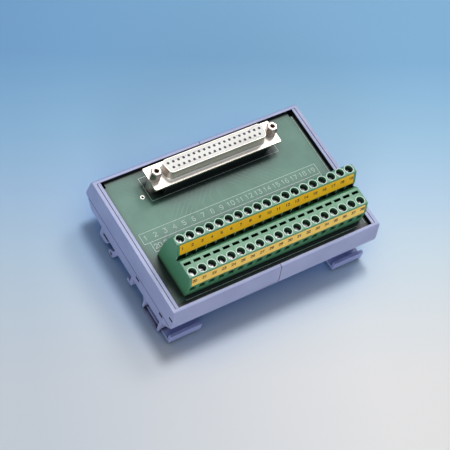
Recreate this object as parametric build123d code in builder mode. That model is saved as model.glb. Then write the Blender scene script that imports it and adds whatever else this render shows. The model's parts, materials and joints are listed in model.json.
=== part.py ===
"""Adapter from a 37-way D-sub socket to a two-level terminal block, on a rail carrier.

Millimetres, +Z up. X runs along the terminals, Y towards the D-sub. The origin lies
under the middle of the carrier, on the surface that the two feet stand on.
"""

from build123d import *
import os
from math import hypot, radians, tan

os.makedirs("parts", exist_ok=True)

# Terminal pitch, which sets the length of the carrier
POLES = 19
POLE_PITCH = 5.08
END_ROOM = 8.24  # end pole's edge to the outside of the end cap, mean of both ends

# Carrier
TRAY_LENGTH = POLES * POLE_PITCH + 2 * END_ROOM
TRAY_WIDTH = 77.5  # over the widest line of the long walls
TRAY_DEPTH = 17.5  # underside of the floor to the top of the rim
TRAY_FLOOR = 2.0
TRAY_WALL = 1.8
RIM_INSET = 1.75  # from the widest line in to the rim's outside
RIM_WALL = 1.8  # long wall where it meets the rim
RIM_ROUND = 0.8
WAIST_ROUND = 6.0
SHOULDER_ROUND = 3.0
KEEL_ROUND = 2.5
WAIST_RISE = 7.6  # widest line above the underside
SHOULDER_RISE = 5.2  # where the long wall turns in to the underside
SHOULDER_INSET = 0.45
KEEL_INSET = 6.2  # from the widest line to the edge of the flat underside
SEAM_X = 0.6  # where the two base elements meet
SEAM_GAP = 0.3
LAP_LENGTH = 4.0  # floor lap under the seam
LAP_FIT = 0.1

# End caps
CAP_PLATE = 1.8
CAP_TENON = 1.6  # inner wall that plugs into the base element
CAP_FIT = 0.1
CAP_LINE_WIDTH = 0.3  # fine line between plate and inner wall, along the rim
CAP_LINE_DEPTH = 0.6
CAP_STEP_RISE = 5.9  # the cap's face is set back below this height over the underside
CAP_STEP_DEPTH = 0.5
CAP_WINDOW_HEIGHT = 1.2
CAP_WINDOW_LENGTH = 2.8
CAP_CORNER_WINDOW_RISE = 11.0
CAP_CORNER_WINDOW_INSET = 0.6  # in from the wall's shoulder
CAP_CORNER_POCKET = 2.5  # the window goes on into the end of the long wall
CAP_LOW_WINDOWS = [(3.05, 3.4), (23.55, 2.8)]  # in from the underside's edge, and height over it

# Circuit board
BOARD_END_FIT = 0.4
BOARD_THICKNESS = 1.6
BOARD_BITE = 0.8  # how far each long edge reaches into its groove
BOARD_BELOW_RIM = 2.1
GROOVE_FIT = 0.1
LEDGE_HEIGHT = 1.6  # solid ledge under each groove
NOTCH_LENGTH = 1.7
NOTCH_WIDTH = 3.4
TOOLING_HOLE = 1.2
TOOLING_HOLE_X = -38.1
TOOLING_HOLE_Y = 21.7

# Feet for the 35 mm rail
FOOT_HEIGHT = 10.0
FOOT_LENGTH = 20.0
FOOT_RIGHT_INSET = 1.3  # right foot's end in from the end cap's face
FOOT_PLATE = 1.8
FOOT_BASE = 1.2
FOOT_WALL = 1.4
RAIL_WIDTH = 35.0
RAIL_CENTRE_Y = 1.0
RAIL_SLOT = 1.6  # height of the slot that takes the rail's edge
RAIL_GRIP = 2.3  # how far hook and latch reach over the rail's edge
RAIL_PLAY = 2.2  # room behind the rail's back edge, to tilt it in
RAIL_FIT = 0.2  # room in front of the rail's front edge
HOOK_WALL = 2.3
HOOK_LIP = 3.0
PEG_TOP_Y = 8.6
PEG_TIP_Y = 12.0
PEG_THICKNESS = 2.4
PEG_HEIGHT = 5.4
PEG_EYE = 4.4  # round end of the peg, and the hole through it
PEG_EYE_HOLE = 1.6
CLAW_Y = -5.6
CLAW_WIDTH = 1.7
CLAW_HEIGHT = 5.6
CLAW_REACH = 2.2
BOX_DEPTH = 13.4  # latch box, front to back
LUG_LENGTH = 7.6
LUG_WIDTH = 1.8
LUG_FIT = 0.2
LUG_BARB = 0.7
LUG_BARB_HEIGHT = 1.2
LUG_BACK_INSET = 13.95  # from the edge of the flat underside
LUG_FRONT_INSET = 7.75
PLATE_BEHIND_LUG = 4.4
PLATE_BEFORE_LUG = 6.7

# Latches
LATCH_THICKNESS = 1.4
LATCH_FIT = 0.1
LATCH_CHEEK = 1.5  # foot wall left at each side of the latch
GRIP_REACH = 7.0  # grip bar in front of the latch box
GRIP_BAR = 1.6
GRIP_HEIGHT = 5.0
NOSE_LEAD_HEIGHT = 2.6  # sloping lead-in under the nose
NOSE_LEAD_LENGTH = 1.6

SPRING_FOLDS = 5
SPRING_WIDTH = 9.0
SPRING_HEIGHT = 2.4
SPRING_LEAF = 0.5

# D-sub socket
DSUB_X = 0.0
DSUB_EDGE = 11.3  # board's back edge to the middle of the socket
DSUB_PITCH = 2.77
DSUB_ROW_GAP = 2.84
DSUB_FRONT_ROW = 18
DSUB_BACK_ROW = 19
DSUB_FLANGE_EAR = 2.91  # jackscrew's axis to the flange's end
DSUB_FLANGE_WIDTH = 12.55
DSUB_FLANGE_ROUND = 0.9
DSUB_FLANGE_THICKNESS = 1.0
DSUB_FLANGE_RISE = 8.0  # flange top over the board
DSUB_FACE_RISE = 5.8  # mating face over the flange
DSUB_SCREW_ROOM = 4.1  # end of the shell to the jackscrew's axis
DSUB_SHELL_MARGIN = 1.335  # half a pitch past the end contact to the end of the shell
DSUB_SHELL_WIDTH = 7.9
DSUB_SHELL_WALL = 0.4
DSUB_SHELL_ROUND = 2.4
DSUB_DRAW_RADIUS = 0.7  # where the drawn shell turns into the flange
DSUB_LIP_RADIUS = 0.2
DSUB_SIDE_ANGLE = 10.0
DSUB_FACE_FIT = 0.1
DSUB_BASE_MARGIN = 0.55  # black base past the end of the shell
DSUB_BASE_WIDTH = 10.6
SOCKET_HOLE = 1.2
CONTACT_SIZE = 0.64
CONTACT_HOLE = 1.0
CONTACT_BELOW_FACE = 2.4
TAIL_BELOW_BOARD = 1.2
SPACER_DIAMETER = 5.6
SPACER_BORE = 3.0
JACK_ACROSS_FLATS = 4.76
JACK_HEIGHT = 5.6
JACK_CHAMFER = 0.35
JACK_STUD = 2.8
JACK_STUD_LENGTH = 5.0
JACK_THREAD = 2.4
JACK_THREAD_DEPTH = 4.6
FLANGE_HOLE = 3.1

# Terminal block
TERMINAL_X = 1.2
HOUSING_END_WALL = 0.25
FRONT_EDGE_TO_SCREW = 8.6  # board's front edge to the lower screws
LEVEL_STEP = 13.4  # lower screws to upper screws
LEVEL_DROP = 7.2  # upper top face to lower top face
UPPER_TOP_RISE = 22.2  # over the board
FOOT_BEHIND_SCREW = 6.7  # these four count back from the upper screws
KNEE_BEHIND_SCREW = 5.8
NECK_BEHIND_SCREW = 3.7
TOP_BEHIND_SCREW = 1.5
KNEE_DROP = 11.6
NECK_DROP = 3.3
FOOT_BEFORE_SCREW = 3.4  # counts forward from the lower screws
BOSS_RADIUS = 2.35  # round wall behind each upper driver hole
FRONT_EDGE_REACH = 2.4  # screw axis to the upper front edge of its level
STRIP_TOP_REACH = 2.7  # screw axis to the upper edge of the marker strip
STRIP_BELOW_TOP = 0.8
STRIP_THICKNESS = 0.5
STRIP_END_INSET = 1.3  # green wall left at each end of a marker strip
STRIP_END_FIT = 0.1
UPPER_STRIP_DROP = 5.5
UPPER_STRIP_LEAN = 1.8
LOWER_STRIP_DROP = 4.9
LOWER_STRIP_LEAN = 1.3
GUIDE_WIDTH = 2.4  # sloping wire guide in front of the upper entries
GUIDE_DROP = 2.2
UPPER_MOUTH_RIB = 0.78  # wall between neighbours
UPPER_MOUTH_HEIGHT = 3.6
LOWER_MOUTH_RIB = 1.88
LOWER_MOUTH_HEIGHT = 3.4
MOUTH_DEPTH = 1.2
TEST_SLOT_RIB = 1.58
TEST_SLOT_WIDTH = 1.3
TEST_SLOT_DEPTH = 3.0
TEST_SLOT_BEHIND_SCREW = 4.4

# Clamps, all counted down from the top face of their level
SCREW_HEAD = 3.0
SCREW_HEAD_HEIGHT = 1.3
SCREW_SLOT = 0.6
SCREW_SLOT_DEPTH = 0.6
SCREW_SHANK = 2.2
SHANK_FIT = 0.15
SCREW_SHANK_LENGTH = 3.3
SCREW_RECESS = 3.0
SCREW_FIT = 0.45
UPPER_SLOT_TURN = 0.0  # where the slots of each level start, in degrees
LOWER_SLOT_TURN = 75.0
SCREW_SLOT_STEP = 47.0  # each slot stands this many degrees on from its neighbour
SEAT_GAP = 0.2
CHAMBER_DROP = 6.6
CHAMBER_RIB = 0.98
CHAMBER_HEIGHT = 3.8
CHAMBER_BEHIND_SCREW = 2.3
CAGE_WALL = 0.5
CAGE_FIT = 0.15
CAGE_DEPTH = 3.4
PIN_WIDTH = 1.0
PIN_THICKNESS = 0.8
PIN_FIT = 0.1

# Half widths of the carrier, and the board between its long walls
WAIST_Y = TRAY_WIDTH / 2
SHOULDER_Y = WAIST_Y - SHOULDER_INSET
KEEL_Y = WAIST_Y - KEEL_INSET
RIM_OUTSIDE_Y = WAIST_Y - RIM_INSET
RIM_INSIDE_Y = RIM_OUTSIDE_Y - RIM_WALL
BOARD_WIDTH = 2 * (RIM_INSIDE_Y + BOARD_BITE)
CAP_INSIDE_X = TRAY_LENGTH / 2 - CAP_PLATE
BOARD_LENGTH = 2 * (CAP_INSIDE_X - CAP_TENON - BOARD_END_FIT)

# Places along X and Y worked out from the sizes above
FOOT_LEFT_X = (FOOT_LENGTH - TRAY_LENGTH) / 2 + CAP_STEP_DEPTH
FOOT_RIGHT_X = (TRAY_LENGTH - FOOT_LENGTH) / 2 - FOOT_RIGHT_INSET
LUG_BACK_Y = KEEL_Y - LUG_BACK_INSET
LUG_FRONT_Y = LUG_FRONT_INSET - KEEL_Y
DSUB_Y = BOARD_WIDTH / 2 - DSUB_EDGE
DSUB_SHELL_LENGTH = DSUB_BACK_ROW * DSUB_PITCH + 2 * DSUB_SHELL_MARGIN
DSUB_SCREW_SPACING = DSUB_SHELL_LENGTH + 2 * DSUB_SCREW_ROOM
DSUB_FLANGE_LENGTH = DSUB_SCREW_SPACING + 2 * DSUB_FLANGE_EAR
DSUB_BASE_LENGTH = DSUB_SHELL_LENGTH + 2 * DSUB_BASE_MARGIN
LOWER_SCREW_Y = FRONT_EDGE_TO_SCREW - BOARD_WIDTH / 2
UPPER_SCREW_Y = LOWER_SCREW_Y + LEVEL_STEP
TEST_SLOT_Y = LOWER_SCREW_Y + TEST_SLOT_BEHIND_SCREW
CHAMBER_WIDTH = POLE_PITCH - CHAMBER_RIB

# Heights worked out from the sizes above
RIM_Z = FOOT_HEIGHT + TRAY_DEPTH
FLOOR_TOP_Z = FOOT_HEIGHT + TRAY_FLOOR
BOARD_TOP_Z = RIM_Z - BOARD_BELOW_RIM
BOARD_BOTTOM_Z = BOARD_TOP_Z - BOARD_THICKNESS
LEDGE_Z = BOARD_BOTTOM_Z - LEDGE_HEIGHT
FLANGE_TOP_Z = BOARD_TOP_Z + DSUB_FLANGE_RISE
FLANGE_BOTTOM_Z = FLANGE_TOP_Z - DSUB_FLANGE_THICKNESS
DSUB_FACE_Z = FLANGE_TOP_Z + DSUB_FACE_RISE
UPPER_TOP_Z = BOARD_TOP_Z + UPPER_TOP_RISE
LOWER_TOP_Z = UPPER_TOP_Z - LEVEL_DROP
FOOT_ROOF_Z = FOOT_HEIGHT - FOOT_PLATE
RAIL_FLOOR_Z = FOOT_ROOF_Z - RAIL_SLOT
TAIL_Z = BOARD_BOTTOM_Z - TAIL_BELOW_BOARD

# Rail edges and the latch box
RAIL_BACK_Y = RAIL_CENTRE_Y + RAIL_WIDTH / 2
RAIL_FRONT_Y = RAIL_CENTRE_Y - RAIL_WIDTH / 2
HOOK_TIP_Y = RAIL_BACK_Y - RAIL_GRIP
HOOK_INSIDE_Y = RAIL_BACK_Y + RAIL_PLAY
BOX_INSIDE_Y = RAIL_FRONT_Y - RAIL_FIT - FOOT_WALL
BOX_FRONT_Y = BOX_INSIDE_Y - BOX_DEPTH
LATCH_BOTTOM_Z = FOOT_BASE + LATCH_FIT
LATCH_TOP_Z = LATCH_BOTTOM_Z + LATCH_THICKNESS
NOSE_TOP_Z = RAIL_FLOOR_Z + 2 * LATCH_FIT
LATCH_WIDTH = FOOT_LENGTH - 2 * LATCH_CHEEK

SCREW_HEAD_DROP = SCREW_RECESS + SCREW_HEAD_HEIGHT
DRIVER_HOLE_RADIUS = SCREW_HEAD / 2 + SCREW_FIT
SHANK_SLOT = SCREW_SHANK + 2 * SHANK_FIT
OVERCUT = 1.0  # how far a cutting tool runs past the face it opens
CLOSE = 0.001  # two places nearer than this are the same


def keep(piece, name):
    """Label a finished piece and write it."""
    piece.part.label = name
    export_step(piece.part, f"parts/{name}.step")


def mirrored(points):
    """A closed outline from its right half, given from top to bottom."""
    return points + [(-y, z) for y, z in reversed(points)]


def tray_outline():
    return mirrored(
        [
            (RIM_OUTSIDE_Y, RIM_Z),
            (WAIST_Y, FOOT_HEIGHT + WAIST_RISE),
            (SHOULDER_Y, FOOT_HEIGHT + SHOULDER_RISE),
            (KEEL_Y, FOOT_HEIGHT),
        ]
    )


def round_outline(section):
    """Round the long corners of the carrier, each at its own height."""
    corners = {
        RIM_Z: RIM_ROUND,
        FOOT_HEIGHT + WAIST_RISE: WAIST_ROUND,
        FOOT_HEIGHT + SHOULDER_RISE: SHOULDER_ROUND,
        FOOT_HEIGHT: KEEL_ROUND,
    }
    for height, radius in corners.items():
        fillet([v for v in section.vertices() if abs(v.Y - height) < CLOSE], radius)


def cavity_outline(top):
    return mirrored(
        [
            (RIM_INSIDE_Y, top),
            (RIM_INSIDE_Y, LEDGE_Z),
            (WAIST_Y - TRAY_WALL, FOOT_HEIGHT + WAIST_RISE),
            (SHOULDER_Y - TRAY_WALL, FOOT_HEIGHT + SHOULDER_RISE),
            (KEEL_Y - TRAY_WALL / 2, FLOOR_TOP_Z),
        ]
    )


def tray_base(name, x_from, x_to, lap_side):
    """One base element: a trough with a groove for the board in each long wall."""
    length = x_to - x_from
    with BuildPart() as base:
        with BuildSketch(Plane.YZ.offset(x_from)) as section:
            with BuildLine():
                Polyline(*tray_outline(), close=True)
            make_face()
            round_outline(section)
            with BuildLine():
                Polyline(*cavity_outline(RIM_Z + OVERCUT), close=True)
            make_face(mode=Mode.SUBTRACT)
            with Locations((0, (BOARD_TOP_Z + BOARD_BOTTOM_Z) / 2)):
                Rectangle(
                    BOARD_WIDTH + 2 * GROOVE_FIT,
                    BOARD_THICKNESS + 2 * GROOVE_FIT,
                    mode=Mode.SUBTRACT,
                )
        extrude(amount=length)
        with BuildSketch(Plane.XY.offset(FOOT_HEIGHT - OVERCUT)):
            for lug_y in (LUG_BACK_Y, LUG_FRONT_Y):
                for foot_x in (FOOT_LEFT_X, FOOT_RIGHT_X):
                    with Locations((foot_x, lug_y)):
                        Rectangle(LUG_LENGTH + 2 * LUG_FIT, LUG_WIDTH + 2 * LUG_FIT)
        extrude(amount=TRAY_FLOOR + 2 * OVERCUT, mode=Mode.SUBTRACT)
        with BuildSketch(Plane.YZ.offset(max(x_from, x_to, key=abs))):
            with Locations(cap_windows()[-1]):
                Rectangle(CAP_WINDOW_LENGTH, CAP_WINDOW_HEIGHT)
        extrude(amount=CAP_CORNER_POCKET, both=True, mode=Mode.SUBTRACT)
        lap_floor(lap_side)
    keep(base, name)


def lap_floor(lap_side):
    """Lower half of the floor: a tongue on one base element, its recess in the other."""
    half_floor = TRAY_FLOOR / 2
    lap_width = 2 * (KEEL_Y - TRAY_WALL)
    if lap_side == "tongue":
        with BuildSketch(Plane.XY.offset(FOOT_HEIGHT)) as tongue:
            with Locations((SEAM_X + LAP_LENGTH / 2, 0)):
                Rectangle(LAP_LENGTH, lap_width)
        extrude(tongue.sketch, amount=half_floor)
    else:
        with BuildSketch(Plane.XY.offset(FOOT_HEIGHT - OVERCUT)) as recess:
            with Locations((SEAM_X + (LAP_LENGTH + LAP_FIT) / 2, 0)):
                Rectangle(LAP_LENGTH + LAP_FIT, lap_width + 2 * LAP_FIT)
        extrude(recess.sketch, amount=OVERCUT + half_floor + LAP_FIT, mode=Mode.SUBTRACT)


def end_cap(name, side):
    """End plate with an inner wall that plugs between the long walls; side is -1 or 1."""
    outside_x = side * TRAY_LENGTH / 2
    outward = Plane(origin=(side * CAP_INSIDE_X, 0, 0), x_dir=(0, 1, 0), z_dir=(1, 0, 0))
    with BuildPart() as cap:
        with BuildSketch(outward) as plate:
            with BuildLine():
                Polyline(*tray_outline(), close=True)
            make_face()
            round_outline(plate)
        extrude(amount=side * CAP_PLATE)
        with BuildSketch(outward):
            with BuildLine():
                Polyline(*cavity_outline(RIM_Z + CAP_FIT), close=True)
            make_face()
            offset(amount=-CAP_FIT, kind=Kind.INTERSECTION)
        extrude(amount=-side * CAP_TENON)
        with BuildSketch(Plane.XY.offset(RIM_Z)):
            with Locations((side * CAP_INSIDE_X, 0)):
                Rectangle(CAP_LINE_WIDTH, 2 * RIM_INSIDE_Y)
        extrude(amount=-CAP_LINE_DEPTH, mode=Mode.SUBTRACT)
        with BuildSketch(Plane.XY.offset(FOOT_HEIGHT + CAP_STEP_RISE)):
            with Locations((outside_x, 0)):
                Rectangle(2 * CAP_STEP_DEPTH, TRAY_WIDTH + OVERCUT)
        extrude(amount=-CAP_STEP_RISE - OVERCUT, mode=Mode.SUBTRACT)
        with BuildSketch(outward):
            for window_y, window_z in cap_windows():
                with Locations((window_y, window_z)):
                    Rectangle(CAP_WINDOW_LENGTH, CAP_WINDOW_HEIGHT)
        extrude(amount=CAP_PLATE + CAP_TENON + OVERCUT, both=True, mode=Mode.SUBTRACT)
    keep(cap, name)


def cap_windows():
    """Centres of the snap windows in an end plate: one at the front corner, two low down."""
    corner_y = CAP_CORNER_WINDOW_INSET + CAP_WINDOW_LENGTH / 2 - SHOULDER_Y
    windows = [(inset - KEEL_Y, FOOT_HEIGHT + rise) for inset, rise in CAP_LOW_WINDOWS]
    return windows + [(corner_y, FOOT_HEIGHT + CAP_CORNER_WINDOW_RISE)]


def din_foot(name, centre_x):
    """Foot with a fixed hook at the back, a claw and a peg between, and a latch box in front."""
    start = Plane.YZ.offset(centre_x - FOOT_LENGTH / 2)
    hook_back_y = HOOK_INSIDE_Y + HOOK_WALL
    box_back_y = BOX_INSIDE_Y + FOOT_WALL
    plate_front_y = LUG_FRONT_Y - PLATE_BEFORE_LUG
    plate_back_y = LUG_BACK_Y + PLATE_BEHIND_LUG
    with BuildPart() as foot:
        with BuildSketch(start):
            with BuildLine():
                Polyline(
                    (BOX_FRONT_Y, FOOT_HEIGHT),
                    (BOX_FRONT_Y, 0),
                    (box_back_y, 0),
                    (box_back_y, FOOT_ROOF_Z),
                    (HOOK_INSIDE_Y, FOOT_ROOF_Z),
                    (HOOK_INSIDE_Y, RAIL_FLOOR_Z),
                    (HOOK_TIP_Y, RAIL_FLOOR_Z),
                    (HOOK_TIP_Y, RAIL_FLOOR_Z - HOOK_LIP / 2),
                    (HOOK_TIP_Y + HOOK_LIP / 2, RAIL_FLOOR_Z - HOOK_LIP),
                    (hook_back_y, RAIL_FLOOR_Z - HOOK_LIP),
                    (hook_back_y, FOOT_HEIGHT),
                    close=True,
                )
            make_face()
            with Locations(((plate_front_y + plate_back_y) / 2, (FOOT_ROOF_Z + FOOT_HEIGHT) / 2)):
                Rectangle(plate_back_y - plate_front_y, FOOT_PLATE)
            with BuildLine():
                Polyline(
                    (BOX_FRONT_Y + FOOT_WALL, FOOT_BASE),
                    (BOX_INSIDE_Y, FOOT_BASE),
                    (BOX_INSIDE_Y, FOOT_ROOF_Z),
                    (BOX_FRONT_Y + FOOT_WALL, FOOT_ROOF_Z),
                    close=True,
                )
            make_face(mode=Mode.SUBTRACT)
            with BuildLine():
                Polyline(
                    (PEG_TOP_Y - PEG_THICKNESS / 2, FOOT_ROOF_Z),
                    (PEG_TOP_Y + PEG_THICKNESS / 2, FOOT_ROOF_Z),
                    (PEG_TIP_Y + PEG_THICKNESS / 2, FOOT_ROOF_Z - PEG_HEIGHT),
                    (PEG_TIP_Y - PEG_THICKNESS / 2, FOOT_ROOF_Z - PEG_HEIGHT),
                    close=True,
                )
            make_face()
            with Locations((PEG_TIP_Y, FOOT_ROOF_Z - PEG_HEIGHT)):
                Circle(PEG_EYE / 2)
                Circle(PEG_EYE_HOLE / 2, mode=Mode.SUBTRACT)
            with BuildLine():
                Polyline(
                    (CLAW_Y - CLAW_WIDTH / 2, FOOT_ROOF_Z),
                    (CLAW_Y + CLAW_WIDTH / 2, FOOT_ROOF_Z),
                    (CLAW_Y + CLAW_WIDTH / 2, FOOT_ROOF_Z - CLAW_HEIGHT + CLAW_WIDTH),
                    (CLAW_Y + CLAW_WIDTH / 2 + CLAW_REACH, FOOT_ROOF_Z - CLAW_HEIGHT + CLAW_WIDTH),
                    (CLAW_Y + CLAW_WIDTH / 2 + CLAW_REACH, FOOT_ROOF_Z - CLAW_HEIGHT),
                    (CLAW_Y - CLAW_WIDTH / 2, FOOT_ROOF_Z - CLAW_HEIGHT),
                    close=True,
                )
            make_face()
        extrude(amount=FOOT_LENGTH)
        front_gate = LATCH_THICKNESS + 2 * LATCH_FIT
        with BuildSketch(Plane.XY.offset(FOOT_BASE)):
            with Locations((centre_x, BOX_FRONT_Y + FOOT_WALL / 2)):
                Rectangle(LATCH_WIDTH + 2 * LATCH_FIT, FOOT_WALL + OVERCUT)
        extrude(amount=front_gate, mode=Mode.SUBTRACT)
        with BuildSketch(Plane.XY.offset(FOOT_BASE)):
            with Locations((centre_x, BOX_INSIDE_Y + FOOT_WALL / 2)):
                Rectangle(LATCH_WIDTH + 2 * LATCH_FIT, FOOT_WALL + OVERCUT)
        extrude(amount=NOSE_TOP_Z + LATCH_FIT - FOOT_BASE, mode=Mode.SUBTRACT)
        foot_lugs(centre_x)
    keep(foot, name)


def foot_lugs(centre_x):
    """Barbed lugs that snap through the slots in the tray's floor."""
    for lug_y, barb_way in ((LUG_BACK_Y, 1), (LUG_FRONT_Y, -1)):
        with BuildSketch(Plane.XY.offset(FOOT_HEIGHT)) as lug:
            with Locations((centre_x, lug_y)):
                Rectangle(LUG_LENGTH, LUG_WIDTH)
        extrude(lug.sketch, amount=TRAY_FLOOR + LUG_FIT + LUG_BARB_HEIGHT)
        with BuildSketch(Plane.XY.offset(FLOOR_TOP_Z + LUG_FIT)) as barb:
            with Locations((centre_x, lug_y + barb_way * (LUG_BARB + LUG_FIT) / 2)):
                Rectangle(LUG_LENGTH, LUG_WIDTH + LUG_BARB + LUG_FIT)
        extrude(barb.sketch, amount=LUG_BARB_HEIGHT)


def din_latch(name, centre_x):
    """Slider on the foot's base plate, with a nose under the rail's edge and a grip bar."""
    grip_front_y = BOX_FRONT_Y - GRIP_REACH
    nose_tip_y = RAIL_FRONT_Y + RAIL_GRIP
    nose_back_y = BOX_INSIDE_Y - LATCH_FIT
    with BuildPart() as latch:
        with BuildSketch(Plane.YZ.offset(centre_x - LATCH_WIDTH / 2)):
            with BuildLine():
                Polyline(
                    (grip_front_y, LATCH_BOTTOM_Z),
                    (nose_tip_y - NOSE_LEAD_LENGTH, LATCH_BOTTOM_Z),
                    (nose_tip_y, LATCH_BOTTOM_Z + NOSE_LEAD_HEIGHT),
                    (nose_tip_y, NOSE_TOP_Z),
                    (nose_back_y, NOSE_TOP_Z),
                    (nose_back_y, LATCH_TOP_Z),
                    (grip_front_y + GRIP_BAR, LATCH_TOP_Z),
                    (grip_front_y + GRIP_BAR, LATCH_BOTTOM_Z + GRIP_HEIGHT),
                    (grip_front_y, LATCH_BOTTOM_Z + GRIP_HEIGHT),
                    close=True,
                )
            make_face()
        extrude(amount=LATCH_WIDTH)
    keep(latch, name)


def latch_spring(name, centre_x):
    """Zigzag leaf spring in the latch box, between its front wall and the nose."""
    front_y = BOX_FRONT_Y + FOOT_WALL
    back_y = BOX_INSIDE_Y - LATCH_FIT
    step = (back_y - front_y - SPRING_LEAF) / SPRING_FOLDS
    side_x = (SPRING_WIDTH - SPRING_LEAF) / 2
    with BuildPart() as spring:
        with BuildSketch(Plane.XY.offset(LATCH_TOP_Z + LATCH_FIT)):
            for i in range(SPRING_FOLDS + 1):
                with Locations((centre_x, front_y + SPRING_LEAF / 2 + i * step)):
                    Rectangle(SPRING_WIDTH, SPRING_LEAF)
            for i in range(SPRING_FOLDS):
                side = 1 if i % 2 else -1
                with Locations((centre_x + side * side_x, front_y + SPRING_LEAF / 2 + (i + 0.5) * step)):
                    Rectangle(SPRING_LEAF, step)
        extrude(amount=SPRING_HEIGHT)
    keep(spring, name)


def contact_rows():
    """Plan positions of the D-sub contacts, back row first."""
    rows = []
    for count, side in ((DSUB_BACK_ROW, 1), (DSUB_FRONT_ROW, -1)):
        for i in range(count):
            x = DSUB_X + (i - (count - 1) / 2) * DSUB_PITCH
            rows.append((x, DSUB_Y + side * DSUB_ROW_GAP / 2))
    return rows


def pole_positions(y):
    """Plan positions of the 19 poles along one line."""
    first = TERMINAL_X - (POLES - 1) / 2 * POLE_PITCH
    return [(first + i * POLE_PITCH, y) for i in range(POLES)]


def circuit_board():
    """Board with its tail holes, the tooling hole and a notch at each back corner."""
    with BuildPart() as board:
        with BuildSketch(Plane.XY.offset(BOARD_BOTTOM_Z)):
            Rectangle(BOARD_LENGTH, BOARD_WIDTH)
            for side in (-1, 1):
                corner_x = side * (BOARD_LENGTH - NOTCH_LENGTH) / 2
                with Locations((corner_x, (BOARD_WIDTH - NOTCH_WIDTH) / 2)):
                    Rectangle(NOTCH_LENGTH, NOTCH_WIDTH, mode=Mode.SUBTRACT)
            with Locations(*contact_rows()):
                Rectangle(CONTACT_HOLE, CONTACT_HOLE, mode=Mode.SUBTRACT)
            with Locations((TOOLING_HOLE_X, TOOLING_HOLE_Y)):
                Circle(TOOLING_HOLE / 2, mode=Mode.SUBTRACT)
            for screw_y in (UPPER_SCREW_Y, LOWER_SCREW_Y):
                with Locations(*pole_positions(screw_y)):
                    Rectangle(
                        PIN_WIDTH + 2 * PIN_FIT, PIN_THICKNESS + 2 * PIN_FIT, mode=Mode.SUBTRACT
                    )
        extrude(amount=BOARD_THICKNESS)
    keep(board, "circuit_board")


def make_d(inset):
    """Sketch the D at the socket's place, drawn in by the inset."""
    half_width = DSUB_SHELL_WIDTH / 2
    lean = half_width * tan(radians(DSUB_SIDE_ANGLE))
    half_length = DSUB_SHELL_LENGTH / 2 - lean
    with BuildSketch(Plane.XY, mode=Mode.PRIVATE) as d:
        with BuildLine():
            Polyline(
                (DSUB_X + half_length + lean, DSUB_Y + half_width),
                (DSUB_X - half_length - lean, DSUB_Y + half_width),
                (DSUB_X - half_length + lean, DSUB_Y - half_width),
                (DSUB_X + half_length - lean, DSUB_Y - half_width),
                close=True,
            )
        make_face()
        fillet(d.vertices(), DSUB_SHELL_ROUND)
        if inset:
            offset(amount=-inset)
    return d.sketch


def edges_under_shell(shell):
    """The edges where the shell's outside meets the top of its flange."""
    reach_x = DSUB_SHELL_LENGTH / 2
    reach_y = (DSUB_SHELL_WIDTH + DSUB_FLANGE_WIDTH) / 4
    return [
        edge
        for edge in shell.edges().filter_by_position(Axis.Z, FLANGE_TOP_Z, FLANGE_TOP_Z)
        if abs(edge.center().X - DSUB_X) <= reach_x and abs(edge.center().Y - DSUB_Y) <= reach_y
    ]


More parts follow.
